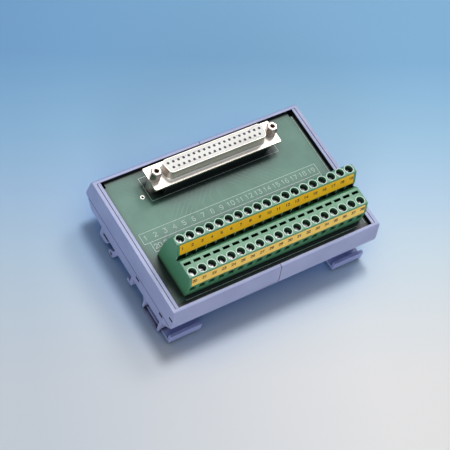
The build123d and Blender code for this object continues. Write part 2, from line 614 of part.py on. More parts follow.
def dsub():
    """Socket: metal shell, white face, black base, contacts, spacers and jackscrews."""
    screw_places = [(DSUB_X + side * DSUB_SCREW_SPACING / 2, DSUB_Y) for side in (-1, 1)]
    with BuildPart() as shell:
        with BuildSketch(Plane.XY.offset(FLANGE_BOTTOM_Z)) as flange:
            with Locations((DSUB_X, DSUB_Y)):
                RectangleRounded(DSUB_FLANGE_LENGTH, DSUB_FLANGE_WIDTH, DSUB_FLANGE_ROUND)
            with Locations(*screw_places):
                Circle(FLANGE_HOLE / 2, mode=Mode.SUBTRACT)
        extrude(amount=DSUB_FLANGE_THICKNESS)
        with BuildSketch(Plane.XY.offset(FLANGE_BOTTOM_Z)):
            add(make_d(0))
        extrude(amount=DSUB_FACE_Z - FLANGE_BOTTOM_Z)
        fillet(shell.faces().sort_by(Axis.Z)[-1].outer_wire().edges(), DSUB_LIP_RADIUS)
        fillet(edges_under_shell(shell), DSUB_DRAW_RADIUS)
        with BuildSketch(Plane.XY.offset(FLANGE_BOTTOM_Z)):
            add(make_d(DSUB_SHELL_WALL))
        extrude(amount=DSUB_FACE_Z - FLANGE_BOTTOM_Z, mode=Mode.SUBTRACT)
    keep(shell, "dsub_shell")

    with BuildPart() as face:
        with BuildSketch(Plane.XY.offset(FLANGE_BOTTOM_Z)):
            add(make_d(DSUB_SHELL_WALL + DSUB_FACE_FIT))
            with Locations(*contact_rows()):
                Circle(SOCKET_HOLE / 2, mode=Mode.SUBTRACT)
        extrude(amount=DSUB_FACE_Z - FLANGE_BOTTOM_Z)
    keep(face, "dsub_socket_insulator")

    with BuildPart() as base:
        with BuildSketch(Plane.XY.offset(BOARD_TOP_Z)):
            with Locations((DSUB_X, DSUB_Y)):
                Rectangle(DSUB_BASE_LENGTH, DSUB_BASE_WIDTH)
            for row_side in (-1, 1):
                with Locations((DSUB_X, DSUB_Y + row_side * DSUB_ROW_GAP / 2)):
                    Rectangle(DSUB_BACK_ROW * DSUB_PITCH, CONTACT_HOLE, mode=Mode.SUBTRACT)
        extrude(amount=FLANGE_BOTTOM_Z - BOARD_TOP_Z)
    keep(base, "dsub_base_insulator")

    with BuildPart() as contacts:
        with BuildSketch(Plane.XY.offset(TAIL_Z)):
            with Locations(*contact_rows()):
                Rectangle(CONTACT_SIZE, CONTACT_SIZE)
        extrude(amount=DSUB_FACE_Z - CONTACT_BELOW_FACE - TAIL_Z)
    keep(contacts, "dsub_contacts")

    with BuildPart() as spacers:
        with BuildSketch(Plane.XY.offset(BOARD_TOP_Z)):
            with Locations(*screw_places):
                Circle(SPACER_DIAMETER / 2)
                Circle(SPACER_BORE / 2, mode=Mode.SUBTRACT)
        extrude(amount=FLANGE_BOTTOM_Z - BOARD_TOP_Z)
    keep(spacers, "dsub_spacers")

    jackscrews(screw_places)


def jackscrews(screw_places):
    """Two hexagon posts, each with a threaded hole, and a stud through the flange."""
    with BuildPart() as jacks:
        with BuildSketch(Plane.XY.offset(FLANGE_TOP_Z)):
            with Locations(*screw_places):
                RegularPolygon(JACK_ACROSS_FLATS / 2, 6, major_radius=False)
        extrude(amount=JACK_HEIGHT)
        chamfer(jacks.faces().group_by(Axis.Z)[-1].edges(), JACK_CHAMFER)
        with BuildSketch(Plane.XY.offset(FLANGE_TOP_Z)):
            with Locations(*screw_places):
                Circle(JACK_STUD / 2)
        extrude(amount=-DSUB_FLANGE_THICKNESS - JACK_STUD_LENGTH)
        with BuildSketch(Plane.XY.offset(FLANGE_TOP_Z + JACK_HEIGHT)):
            with Locations(*screw_places):
                Circle(JACK_THREAD / 2)
        extrude(amount=-JACK_THREAD_DEPTH, mode=Mode.SUBTRACT)
    keep(jacks, "jackscrews")


def strip_face(screw_y, top_z, lean, drop):
    """Outer line of a marker strip, from its upper to its lower edge, as (y, z)."""
    upper = (screw_y - STRIP_TOP_REACH, top_z - STRIP_BELOW_TOP)
    lower = (upper[0] - lean, upper[1] - drop)
    return upper, lower


def strip_seat(upper, lower):
    """The same line moved in by the strip's thickness: where the strip lies on the housing."""
    span = hypot(upper[0] - lower[0], upper[1] - lower[1])
    in_y = (upper[1] - lower[1]) / span * STRIP_THICKNESS
    in_z = -(upper[0] - lower[0]) / span * STRIP_THICKNESS
    return (upper[0] + in_y, upper[1] + in_z), (lower[0] + in_y, lower[1] + in_z)


def strip_groove(face, seat):
    """The strip's own outline, with its outer line moved out past the housing's face."""
    scale = OVERCUT / STRIP_THICKNESS
    outer = [(f[0] + (f[0] - s[0]) * scale, f[1] + (f[1] - s[1]) * scale) for f, s in zip(face, seat)]
    return [outer[0], outer[1], seat[1], seat[0]]


UPPER_STRIP = strip_face(UPPER_SCREW_Y, UPPER_TOP_Z, UPPER_STRIP_LEAN, UPPER_STRIP_DROP)
LOWER_STRIP = strip_face(LOWER_SCREW_Y, LOWER_TOP_Z, LOWER_STRIP_LEAN, LOWER_STRIP_DROP)
UPPER_SEAT = strip_seat(*UPPER_STRIP)
LOWER_SEAT = strip_seat(*LOWER_STRIP)
UPPER_FACE_Y = UPPER_STRIP[1][0]
LOWER_FACE_Y = LOWER_STRIP[1][0]
HOUSING_LENGTH = POLES * POLE_PITCH + 2 * HOUSING_END_WALL
STRIP_LENGTH = HOUSING_LENGTH - 2 * STRIP_END_INSET


def housing_profile():
    """Side outline of the two-level housing, from the back foot over the top to the front."""
    guide_low_z = LOWER_TOP_Z - GUIDE_DROP
    return [
        (UPPER_SCREW_Y + FOOT_BEHIND_SCREW, BOARD_TOP_Z),
        (UPPER_SCREW_Y + KNEE_BEHIND_SCREW, UPPER_TOP_Z - KNEE_DROP),
        (UPPER_SCREW_Y + NECK_BEHIND_SCREW, UPPER_TOP_Z - NECK_DROP),
        (UPPER_SCREW_Y + TOP_BEHIND_SCREW, UPPER_TOP_Z),
        (UPPER_SCREW_Y - FRONT_EDGE_REACH, UPPER_TOP_Z),
        UPPER_STRIP[0],
        UPPER_STRIP[1],
        (UPPER_FACE_Y, guide_low_z),
        (UPPER_FACE_Y - GUIDE_WIDTH, LOWER_TOP_Z),
        (LOWER_SCREW_Y - FRONT_EDGE_REACH, LOWER_TOP_Z),
        LOWER_STRIP[0],
        LOWER_STRIP[1],
        (LOWER_SCREW_Y - FOOT_BEFORE_SCREW, BOARD_TOP_Z),
    ]


def cut_clamp(screw_y, top_z, face_y, mouth_rib, mouth_height):
    """Driver holes, wire chambers, wire mouths and pin slots of one level."""
    with BuildSketch(Plane.XY.offset(top_z)) as driver_holes:
        with Locations(*pole_positions(screw_y)):
            Circle(DRIVER_HOLE_RADIUS)
    extrude(driver_holes.sketch, amount=-SCREW_HEAD_DROP - SEAT_GAP, mode=Mode.SUBTRACT)
    with BuildSketch(Plane.XY.offset(top_z)) as shank_slots:
        with Locations(*pole_positions(screw_y)):
            Rectangle(SHANK_SLOT, SHANK_SLOT)
    extrude(shank_slots.sketch, amount=-CHAMBER_DROP - CAGE_WALL, mode=Mode.SUBTRACT)
    chamber_back_y = screw_y + CHAMBER_BEHIND_SCREW
    chamber_front_y = face_y + MOUTH_DEPTH
    chamber_y = (chamber_back_y + chamber_front_y) / 2
    with BuildSketch(Plane.XY.offset(top_z - CHAMBER_DROP)) as chambers:
        with Locations(*pole_positions(chamber_y)):
            Rectangle(CHAMBER_WIDTH, chamber_back_y - chamber_front_y)
    extrude(chambers.sketch, amount=-CHAMBER_HEIGHT, mode=Mode.SUBTRACT)
    mouth_bottom = top_z - CHAMBER_DROP - CHAMBER_HEIGHT
    with BuildSketch(Plane.XY.offset(mouth_bottom)) as mouths:
        with Locations(*pole_positions(face_y + MOUTH_DEPTH / 2 - OVERCUT / 2)):
            Rectangle(POLE_PITCH - mouth_rib, MOUTH_DEPTH + OVERCUT)
    extrude(mouths.sketch, amount=mouth_height, mode=Mode.SUBTRACT)
    with BuildSketch(Plane.XY.offset(BOARD_TOP_Z)) as pin_slots:
        with Locations(*pole_positions(screw_y)):
            Rectangle(PIN_WIDTH + 2 * PIN_FIT, PIN_THICKNESS + 2 * PIN_FIT)
    extrude(pin_slots.sketch, amount=mouth_bottom - BOARD_TOP_Z + PIN_FIT, mode=Mode.SUBTRACT)


def terminal_housing():
    with BuildPart() as housing:
        with BuildSketch(Plane.YZ.offset(TERMINAL_X - HOUSING_LENGTH / 2)):
            with BuildLine():
                Polyline(*housing_profile(), close=True)
            make_face()
        extrude(amount=HOUSING_LENGTH)
        with BuildSketch(Plane.XY.offset(UPPER_TOP_Z)):
            with Locations(*pole_positions(UPPER_SCREW_Y)):
                Circle(BOSS_RADIUS)
            with Locations((TERMINAL_X, UPPER_SCREW_Y - BOSS_RADIUS)):
                Rectangle(HOUSING_LENGTH, 2 * BOSS_RADIUS, mode=Mode.SUBTRACT)
        extrude(amount=-NECK_DROP)
        with BuildSketch(Plane.YZ.offset(TERMINAL_X - STRIP_LENGTH / 2 - STRIP_END_FIT)):
            for face, seat in ((UPPER_STRIP, UPPER_SEAT), (LOWER_STRIP, LOWER_SEAT)):
                with BuildLine():
                    Polyline(*strip_groove(face, seat), close=True)
                make_face()
        extrude(amount=STRIP_LENGTH + 2 * STRIP_END_FIT, mode=Mode.SUBTRACT)
        cut_clamp(UPPER_SCREW_Y, UPPER_TOP_Z, UPPER_FACE_Y, UPPER_MOUTH_RIB, UPPER_MOUTH_HEIGHT)
        cut_clamp(LOWER_SCREW_Y, LOWER_TOP_Z, LOWER_FACE_Y, LOWER_MOUTH_RIB, LOWER_MOUTH_HEIGHT)
        with BuildSketch(Plane.XY.offset(LOWER_TOP_Z)):
            with Locations(*pole_positions(TEST_SLOT_Y)):
                Rectangle(POLE_PITCH - TEST_SLOT_RIB, TEST_SLOT_WIDTH)
        extrude(amount=-TEST_SLOT_DEPTH, mode=Mode.SUBTRACT)
    keep(housing, "terminal_housing")


def marker_strip(name, face, seat):
    """Thin strip in its groove, on the sloping face in front of a row of screws."""
    with BuildPart() as strip:
        with BuildSketch(Plane.YZ.offset(TERMINAL_X - STRIP_LENGTH / 2)):
            with BuildLine():
                Polyline(face[0], face[1], seat[1], seat[0], close=True)
            make_face()
        extrude(amount=STRIP_LENGTH)
    keep(strip, name)


def clamp_screw(name, place, top_z, slot_turn):
    """Slotted screw, sunk in its driver hole, with its tip in the clamp cage."""
    head_top_z = top_z - SCREW_RECESS
    with BuildPart() as screw:
        with BuildSketch(Plane.XY.offset(head_top_z)):
            with Locations(place):
                Circle(SCREW_HEAD / 2)
        extrude(amount=-SCREW_HEAD_HEIGHT)
        with BuildSketch(Plane.XY.offset(head_top_z - SCREW_HEAD_HEIGHT)):
            with Locations(place):
                Circle(SCREW_SHANK / 2)
        extrude(amount=-SCREW_SHANK_LENGTH)
        with BuildSketch(Plane.XY.offset(head_top_z)):
            with Locations(place):
                Rectangle(SCREW_HEAD + OVERCUT, SCREW_SLOT, rotation=slot_turn)
        extrude(amount=-SCREW_SLOT_DEPTH, mode=Mode.SUBTRACT)
    keep(screw, name)


def clamp_cages():
    """Folded cages, open at the top for the screw and from front to back for the wire."""
    half_width = CHAMBER_WIDTH / 2 - CAGE_FIT
    lip = SHANK_SLOT / 2
    height = CHAMBER_HEIGHT - 2 * CAGE_FIT
    with BuildPart() as cages:
        for screw_y, top_z in ((UPPER_SCREW_Y, UPPER_TOP_Z), (LOWER_SCREW_Y, LOWER_TOP_Z)):
            top = top_z - CHAMBER_DROP - CAGE_FIT
            bottom = top - height
            with BuildSketch(Plane.XZ.offset(-screw_y - CAGE_DEPTH / 2)):
                for x, _ in pole_positions(screw_y):
                    with BuildLine():
                        Polyline(
                            (x - lip, top),
                            (x - half_width, top),
                            (x - half_width, bottom),
                            (x + half_width, bottom),
                            (x + half_width, top),
                            (x + lip, top),
                            (x + lip, top - CAGE_WALL),
                            (x + half_width - CAGE_WALL, top - CAGE_WALL),
                            (x + half_width - CAGE_WALL, bottom + CAGE_WALL),
                            (x - half_width + CAGE_WALL, bottom + CAGE_WALL),
                            (x - half_width + CAGE_WALL, top - CAGE_WALL),
                            (x - lip, top - CAGE_WALL),
                            close=True,
                        )
                    make_face()
            extrude(amount=CAGE_DEPTH)
    keep(cages, "clamp_cages")


def terminal_pins():
    """Solder pins, from the floor of each wire chamber down through the board."""
    with BuildPart() as pins:
        for screw_y, top_z in ((UPPER_SCREW_Y, UPPER_TOP_Z), (LOWER_SCREW_Y, LOWER_TOP_Z)):
            chamber_floor = top_z - CHAMBER_DROP - CHAMBER_HEIGHT
            with BuildSketch(Plane.XY.offset(TAIL_Z)):
                with Locations(*pole_positions(screw_y)):
                    Rectangle(PIN_WIDTH, PIN_THICKNESS)
            extrude(amount=chamber_floor - TAIL_Z)
    keep(pins, "terminal_pins")


tray_base("base_left", -CAP_INSIDE_X, SEAM_X, "tongue")
tray_base("base_right", SEAM_X + SEAM_GAP, CAP_INSIDE_X, "recess")
end_cap("end_cap_left", -1)
end_cap("end_cap_right", 1)
din_foot("din_foot_left", FOOT_LEFT_X)
din_foot("din_foot_right", FOOT_RIGHT_X)
din_latch("din_latch_left", FOOT_LEFT_X)
din_latch("din_latch_right", FOOT_RIGHT_X)
latch_spring("latch_spring_left", FOOT_LEFT_X)
latch_spring("latch_spring_right", FOOT_RIGHT_X)
circuit_board()
dsub()
terminal_housing()
marker_strip("marker_strip_upper", UPPER_STRIP, UPPER_SEAT)
marker_strip("marker_strip_lower", LOWER_STRIP, LOWER_SEAT)
clamp_cages()
terminal_pins()
for level, screw_y, top_z, first_turn in (
    ("upper", UPPER_SCREW_Y, UPPER_TOP_Z, UPPER_SLOT_TURN),
    ("lower", LOWER_SCREW_Y, LOWER_TOP_Z, LOWER_SLOT_TURN),
):
    for number, place in enumerate(pole_positions(screw_y), start=1):
        slot_turn = first_turn + number * SCREW_SLOT_STEP
        clamp_screw(f"screw_{level}_{number:02d}", place, top_z, slot_turn)
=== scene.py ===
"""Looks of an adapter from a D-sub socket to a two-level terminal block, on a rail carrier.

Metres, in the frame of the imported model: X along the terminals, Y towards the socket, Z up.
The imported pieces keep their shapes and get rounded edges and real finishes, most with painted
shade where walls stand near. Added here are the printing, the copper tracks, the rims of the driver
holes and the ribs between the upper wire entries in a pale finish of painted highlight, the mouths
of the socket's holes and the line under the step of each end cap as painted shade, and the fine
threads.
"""

import json
import math

import bpy
import numpy as np
from mathutils import Matrix, Vector


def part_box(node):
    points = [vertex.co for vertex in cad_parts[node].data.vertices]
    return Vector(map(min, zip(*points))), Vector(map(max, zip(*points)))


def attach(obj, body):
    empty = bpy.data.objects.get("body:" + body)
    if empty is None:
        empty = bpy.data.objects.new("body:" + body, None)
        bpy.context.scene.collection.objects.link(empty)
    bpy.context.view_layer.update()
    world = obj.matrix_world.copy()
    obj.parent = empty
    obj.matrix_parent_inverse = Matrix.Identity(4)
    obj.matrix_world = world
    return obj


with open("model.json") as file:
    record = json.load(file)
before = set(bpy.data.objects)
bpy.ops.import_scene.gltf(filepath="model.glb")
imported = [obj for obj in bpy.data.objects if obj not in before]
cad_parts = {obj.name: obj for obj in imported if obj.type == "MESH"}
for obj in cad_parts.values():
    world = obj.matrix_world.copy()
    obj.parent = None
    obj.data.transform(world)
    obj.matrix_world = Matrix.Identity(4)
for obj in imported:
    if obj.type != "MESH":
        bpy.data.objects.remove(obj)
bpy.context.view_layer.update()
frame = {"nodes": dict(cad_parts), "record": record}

MM = 0.001
BODY = "carrier"
POLES = 19  # terminals on each level
BACK_CONTACTS = 19  # contacts in each row of the socket
FRONT_CONTACTS = 18

# Printing on the board, from the middle of the board
SILK_RISE = 0.02 * MM
SILK_LINE = 0.22 * MM
DIGIT_HEIGHT = 2.2 * MM
DIGIT_LINE = 0.24 * MM
NUMBER_PITCH = 5.08 * MM
FIRST_NUMBER_X = -47.7 * MM
NUMBER_ROW_Y = 2.3 * MM
SECOND_ROW_START_X = -44.3 * MM
SECOND_ROW_Y = -3.2 * MM
BOX_LEFT_X = -49.9 * MM
BOX_RIGHT_X = 47.0 * MM
BOX_TOP_Y = 5.0 * MM
BOX_MIDDLE_Y = -0.5 * MM
BOX_BOTTOM_Y = -5.8 * MM
BOX_STEP_X = -47.0 * MM
FRONT_LINE_Y = -32.6 * MM
SOCKET_OUTLINE_X = 35.0 * MM
SOCKET_OUTLINE_FRONT = 6.6 * MM  # from the middle of the socket
SOCKET_OUTLINE_BACK = 6.4 * MM

# Painted shade between the board and the walls of the well above it: a near-black band round the
# board and near-black walls, for their shadow
PAINTED_SHADE_EDGE_X = 52.3 * MM
PAINTED_SHADE_EDGE_BACK = 34.7 * MM
PAINTED_SHADE_EDGE_FRONT = -32.6 * MM
WELL_X = 53.2 * MM
WELL_Y = 35.3 * MM
WELL_LIP = 0.25 * MM
# painted shade: near walls the board is darkened, within this many millimetres
BOARD_SHADE = 15.0  # millimetres, how near walls darken the board
EDGE_LINE_X = 51.7 * MM

# Printing on the marker strips
MARK_HEIGHT = 1.3 * MM
MARK_LINE = 0.34 * MM
MARK_HEIGHT_SHARE = 0.58  # how far up the strip the numbers stand
MARK_RISE = 0.02 * MM

# Copper under the solder mask
TRACK_WIDTH = 0.55 * MM
TRACK_RISE = 0.012 * MM
TRACK_BEND_Y = 15.0 * MM
SOCKET_PITCH = 2.77 * MM
SOCKET_ROW = 1.42 * MM
TOOLING_HOLE = (-38.1 * MM, 21.7 * MM)

# Rims of the driver holes and ribs between the upper wire entries, in a painted highlight; joint
# lines between the poles
RIM_INNER = 1.95 * MM
RIM_OUTER = 2.35 * MM
RIM_RISE = 0.05 * MM
RIM_FOOT = 0.2 * MM  # how far its foot is sunk
RIB_WIDTH = 0.32 * MM
RIB_HEIGHT = 2.9 * MM
RIB_GAP = 0.1 * MM  # under the marker strip
JOINT_LINE = 0.16 * MM  # half width of the shade between two poles

# Tinned land round the tooling hole; painted shade in the lead-ins of the socket's holes
LAND_INNER = 0.6 * MM
LAND_OUTER = 1.1 * MM
LAND_RISE = 0.05 * MM
LAND_FOOT = 0.02 * MM
MOUTH_INNER = 0.2 * MM
MOUTH_OUTER = 0.68 * MM
MOUTH_RISE = 0.02 * MM
MOUTH_FOOT = 0.01 * MM

# Threads in the jackscrews
THREAD_PITCH = 0.635 * MM
THREAD_CORE = 1.02 * MM
THREAD_ROOT = 1.21 * MM
THREAD_START = 0.25 * MM  # below the top of the jackscrew
THREAD_TURNS = 6
THREAD_STEPS = 20  # to a turn
JACK_X = 31.75 * MM  # jackscrews from the middle of the socket

# Painted shade: line under the step of each end cap
CAP_STEP_DEPTH = 0.5 * MM
CAP_STEP_LINE = 0.5 * MM
CAP_STEP_LINE_Z = 14.6 * MM
CAP_STEP_LINE_HALF = 36.0 * MM

# Camera, worked out from the socket's pitch and the terminals' pitch
LENS = 126.55
CAMERA_DISTANCE = 0.7231
CAMERA_AZIMUTH = math.radians(-140.94)
CAMERA_ELEVATION = math.radians(55.42)
CAMERA_ROLL = math.radians(22.87)
AIM = Vector((-0.00774, -0.00416, 0.020))

# Light
KEY_AZIMUTH = math.radians(60.0)
KEY_ELEVATION = math.radians(68.0)
KEY_STRENGTH = 1.5
KEY_ANGLE = math.radians(13.0)
SOFT_AZIMUTH = math.radians(70.0)
SOFT_ELEVATION = math.radians(72.0)
SOFT_STRENGTH = 0.65
SOFT_ANGLE = math.radians(80.0)
BACK_AZIMUTH = math.radians(32.0)
BACK_ELEVATION = math.radians(50.0)
BACK_STRENGTH = 0.5
BACK_ANGLE = math.radians(16.0)
FILL_AZIMUTH = math.radians(-128.0)
FILL_ELEVATION = math.radians(12.0)
FILL_STRENGTH = 1.42
FILL_ANGLE = math.radians(28.0)
SKY_STRENGTH = 0.08

# Floor: the fade runs along what is upwards in the photograph
FLOOR_SIZE = 3.0
FADE_DIRECTION = (0.404, 0.915, 0.0)
FADE_NEAR = -75 * MM
FADE_FAR = 105 * MM
DIM_DIRECTION = (0.915, -0.404, 0.0)
DIM_LEFT = -95 * MM
DIM_RIGHT = 60 * MM
DIM_TINT = "#D9E2EC"
# painted shadow: how far round the piece the floor darkens, in millimetres
FLOOR_SHADE = 34.0  # millimetres
FADE_COLOURS = {
    0.0: "#E9E8E8",
    0.19: "#DFE5E9",
    0.37: "#CFE0EB",
    0.56: "#B8D4EB",
    0.75: "#9FC8E4",
    1.0: "#82B3D9",
}

# Strokes of each digit, on a grid four wide and six high
STROKES = {
    "0": [[(0, 1), (0, 5), (1, 6), (3, 6), (4, 5), (4, 1), (3, 0), (1, 0), (0, 1)]],
    "1": [[(0.8, 5), (2, 6), (2, 0)]],
    "2": [[(0, 5), (1, 6), (3, 6), (4, 5), (4, 4), (0, 0), (4, 0)]],
    "3": [[(0, 6), (4, 6), (2, 3.6), (3, 3.6), (4, 2.6), (4, 1), (3, 0), (1, 0), (0, 1)]],
    "4": [[(3, 0), (3, 6), (0, 2), (4, 2)]],
    "5": [[(4, 6), (0, 6), (0, 3.4), (3, 3.4), (4, 2.5), (4, 1), (3, 0), (1, 0), (0, 1)]],
    "6": [
        [(3.5, 6), (1.5, 6), (0, 4), (0, 1), (1, 0), (3, 0), (4, 1), (4, 2.4), (3, 3.4), (0, 3.4)]
    ],
    "7": [[(0, 6), (4, 6), (1.5, 0)]],
    "8": [
        [(1, 3.2), (0, 4.2), (0, 5), (1, 6), (3, 6), (4, 5), (4, 4.2), (3, 3.2), (1, 3.2)],
        [(1, 3.2), (0, 2.2), (0, 1), (1, 0), (3, 0), (4, 1), (4, 2.2), (3, 3.2)],
    ],
    "9": [
        [(4, 2.6), (1, 2.6), (0, 3.6), (0, 5), (1, 6), (3, 6), (4, 5), (4, 2), (2.5, 0), (0.5, 0)]
    ],
}
STROKE_WIDTH = 4
STROKE_HEIGHT = 6
STROKE_ADVANCE = 5.6
MITRE_LIMIT = 0.35  # least share of a turn's cosine, so that sharp corners stay short


def linear(colour):
    """Linear RGBA of an sRGB hex colour."""
    channels = np.array([int(colour[i : i + 2], 16) for i in (1, 3, 5)]) / 255
    low = channels / 12.92
    high = ((channels + 0.055) / 1.055) ** 2.4
    return (*np.where(channels <= 0.04045, low, high), 1.0)


def middle(node):
    low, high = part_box(node)
    return (low + high) / 2


BOARD_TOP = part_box("circuit_board")[1].z
RIM_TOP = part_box("base_left")[1].z
SOCKET_MIDDLE = middle("dsub_shell")
UPPER_POLES = [middle(f"screw_upper_{i + 1:02d}") for i in range(POLES)]
LOWER_POLES = [middle(f"screw_lower_{i + 1:02d}") for i in range(POLES)]
UPPER_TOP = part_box("terminal_housing")[1].z
LOWER_TOP = UPPER_TOP - (UPPER_POLES[0].z - LOWER_POLES[0].z)
POLE_PITCH = UPPER_POLES[1].x - UPPER_POLES[0].x


# Materials

# The sockets of a colour mix node, by place, because their names repeat
MIX_FIRST = 6
MIX_SECOND = 7
MIX_RESULT = 2

# Share of the noise below and above which a patch is all one or the other
CLOUD_LOW = 0.3
CLOUD_HIGH = 0.7


def add_node(tree, kind, inputs=None, **settings):
    """Add a node. Inputs maps a socket to a value, or to the output that feeds it."""
    made = tree.nodes.new(kind)
    for name, value in settings.items():
        setattr(made, name, value)
    for socket, value in (inputs or {}).items():
        if isinstance(value, bpy.types.NodeSocket):
            tree.links.new(value, made.inputs[socket])
        else:
            made.inputs[socket].default_value = value
    return made


def new_finish(name, colour, roughness, metallic=0.0, ior=1.5):
    """Material with its shader. Returns the material, its tree, shader and place on the piece."""
    material = bpy.data.materials.new(name)
    material.use_nodes = True
    tree = material.node_tree
    shader = tree.nodes["Principled BSDF"]
    shader.inputs["Base Color"].default_value = linear(colour)
    shader.inputs["Roughness"].default_value = roughness
    shader.inputs["Metallic"].default_value = metallic
    if not metallic:
        shader.inputs["IOR"].default_value = ior
    place = add_node(tree, "ShaderNodeTexCoord").outputs["Object"]
    return material, tree, shader, place


def per_mm(size):
    """Noise scale of a pattern whose features are that many millimetres wide."""
    return 1 / (size * MM)


def clouds(tree, place, size, detail, low=0.0, high=1.0):
    """Value that wanders from low to high in patches of that size in millimetres."""
    noise = add_node(
        tree, "ShaderNodeTexNoise", {"Vector": place, "Scale": per_mm(size), "Detail": detail}
    )
    spread = add_node(
        tree,
        "ShaderNodeMapRange",
        {
            "Value": noise.outputs["Fac"],
            "From Min": CLOUD_LOW,
            "From Max": CLOUD_HIGH,
            "To Min": low,
            "To Max": high,
        },
    )
    return spread.outputs["Result"]


def patchy(tree, place, size, first, second):
    """Colour that wanders between two hex colours in patches of that size in millimetres."""
    mix = add_node(
        tree,
        "ShaderNodeMix",
        {
            0: clouds(tree, place, size, 3.0),
            MIX_FIRST: linear(first),
            MIX_SECOND: linear(second),
        },
        data_type="RGBA",
    )
    return mix.outputs[MIX_RESULT]


def grain(tree, place, size, depth, detail=2.0):
    """Normal of a fine grain: bumps of that size and depth, both in millimetres."""
    noise = add_node(
        tree, "ShaderNodeTexNoise", {"Vector": place, "Scale": per_mm(size), "Detail": detail}
    )
    bump = add_node(
        tree,
        "ShaderNodeBump",
        {"Height": noise.outputs["Fac"], "Distance": depth * MM, "Strength": 1.0},
    )
    return bump.outputs["Normal"]


def crevice_shade(tree, colour, depth, closed, tint):
    """The colour with painted shade: tinted where walls nearer than the depth in millimetres leave
    only that share of the sky open, less so where more is open, and untouched from nine tenths."""
    open_share = add_node(
        tree, "ShaderNodeAmbientOcclusion", {"Distance": depth * MM}, samples=8
    ).outputs["AO"]
    spread = add_node(
        tree, "ShaderNodeMapRange", {"Value": open_share, "From Min": closed, "From Max": 0.9}
    ).outputs["Result"]
    shade = add_node(
        tree,
        "ShaderNodeMix",
        {0: spread, MIX_FIRST: linear(tint), MIX_SECOND: linear("#FFFFFF")},
        data_type="RGBA",
    ).outputs[MIX_RESULT]
    return add_node(
        tree, "ShaderNodeVectorMath", {0: colour, 1: shade}, operation="MULTIPLY"
    ).outputs[0]


def inside(tree, place, low, high):
    """1 where the place lies in the box from the low corner to the high one: the least of the
    three half widths less the distances from the middle is above nothing there."""
    low, high = Vector(low), Vector(high)
    from_middle = add_node(
        tree, "ShaderNodeVectorMath", {0: place, 1: (low + high) / 2}, operation="SUBTRACT"
    ).outputs[0]
    away = add_node(
        tree, "ShaderNodeVectorMath", {0: from_middle}, operation="ABSOLUTE"
    ).outputs[0]
    room = add_node(
        tree, "ShaderNodeVectorMath", {0: (high - low) / 2, 1: away}, operation="SUBTRACT"
    ).outputs[0]
    room = add_node(tree, "ShaderNodeSeparateXYZ", {"Vector": room}).outputs
    least = add_node(
        tree, "ShaderNodeMath", {0: room["X"], 1: room["Y"]}, operation="MINIMUM"
    ).outputs[0]
    least = add_node(
        tree, "ShaderNodeMath", {0: least, 1: room["Z"]}, operation="MINIMUM"
    ).outputs[0]
    return add_node(
        tree, "ShaderNodeMath", {0: least, 1: 0.0}, operation="GREATER_THAN"
    ).outputs[0]


def moulded_plastic(name, dark, light, roughness, grain_size, grain_depth):
    """Injection-moulded plastic: slow flow shading and the fine grain of an etched mould, which
    is finer than a tenth of a millimetre and is drawn coarser, so that it shows. Painted shade
    darkens it in crevices."""
    material, tree, shader, place = new_finish(name, light, roughness)
    # painted shade: darker where walls within 3 mm close in
    colour = crevice_shade(tree, patchy(tree, place, 14.0, dark, light), 3.0, 0.45, "#202020")
    tree.links.new(colour, shader.inputs["Base Color"])
    tree.links.new(
        clouds(tree, place, 5.0, 4.0, roughness - 0.05, roughness + 0.07),
        shader.inputs["Roughness"],
    )
    tree.links.new(grain(tree, place, grain_size, grain_depth), shader.inputs["Normal"])
    return material, tree, shader, place


def carrier_nylon():
    # Grey-violet moulded nylon: satin, lightly grained
    material, tree, shader, place = moulded_plastic(
        "moulded_nylon_lavender", "#939AC3", "#9FA6CE", 0.35, 0.9, 0.012
    )
    # Painted shade: the walls of the well over the board are painted near black, for the deep shade
    # they lie in
    base = shader.inputs["Base Color"].links[0].from_socket
    well = inside(
        tree, place, (-WELL_X, -WELL_Y, BOARD_TOP), (WELL_X, WELL_Y, RIM_TOP - WELL_LIP)
    )
    shade = add_node(
        tree,
        "ShaderNodeMix",
        {0: well, MIX_FIRST: base, MIX_SECOND: linear("#101116")},
        data_type="RGBA",
    )
    tree.links.new(shade.outputs[MIX_RESULT], shader.inputs["Base Color"])
    return material


def latch_nylon():
    # The same nylon from another mould, a shade deeper
    return moulded_plastic("moulded_nylon_latch", "#8C96C6", "#979FCC", 0.44, 0.9, 0.012)[0]


def housing_nylon():
    """Green moulded nylon, with the fine joint lines between the poles, one pitch apart."""
    material, tree, shader, place = moulded_plastic(
        "moulded_nylon_green", "#4C8A66", "#57966F", 0.34, 0.8, 0.010
    )
    along = add_node(tree, "ShaderNodeSeparateXYZ", {"Vector": place}).outputs["X"]
    first_joint = UPPER_POLES[0].x - POLE_PITCH / 2
    from_joint = add_node(
        tree, "ShaderNodeMath", {0: along, 1: first_joint}, operation="SUBTRACT"
    ).outputs[0]
    to_joint = add_node(
        tree, "ShaderNodeMath", {0: from_joint, 1: POLE_PITCH / 2}, operation="PINGPONG"
    ).outputs[0]
    line = add_node(
        tree,
        "ShaderNodeMapRange",
        {"Value": to_joint, "From Min": 0.0, "From Max": JOINT_LINE, "To Min": 1.0, "To Max": 0.0},
    ).outputs["Result"]
    base = shader.inputs["Base Color"].links[0].from_socket
    shade = add_node(
        tree,
        "ShaderNodeMix",
        {0: line, MIX_FIRST: base, MIX_SECOND: linear("#2C5A42")},
        data_type="RGBA",
    )
    tree.links.new(shade.outputs[MIX_RESULT], shader.inputs["Base Color"])
    return material


def shaded_nylon():
    # Painted shade in the angle of a moulded step: the carrier's nylon in its own hue, nearly black
    material, tree, shader, place = new_finish("painted_shade_under_step", "#3A3F63", 0.5)
    tree.links.new(patchy(tree, place, 3.0, "#33385A", "#41466C"), shader.inputs["Base Color"])
    return material


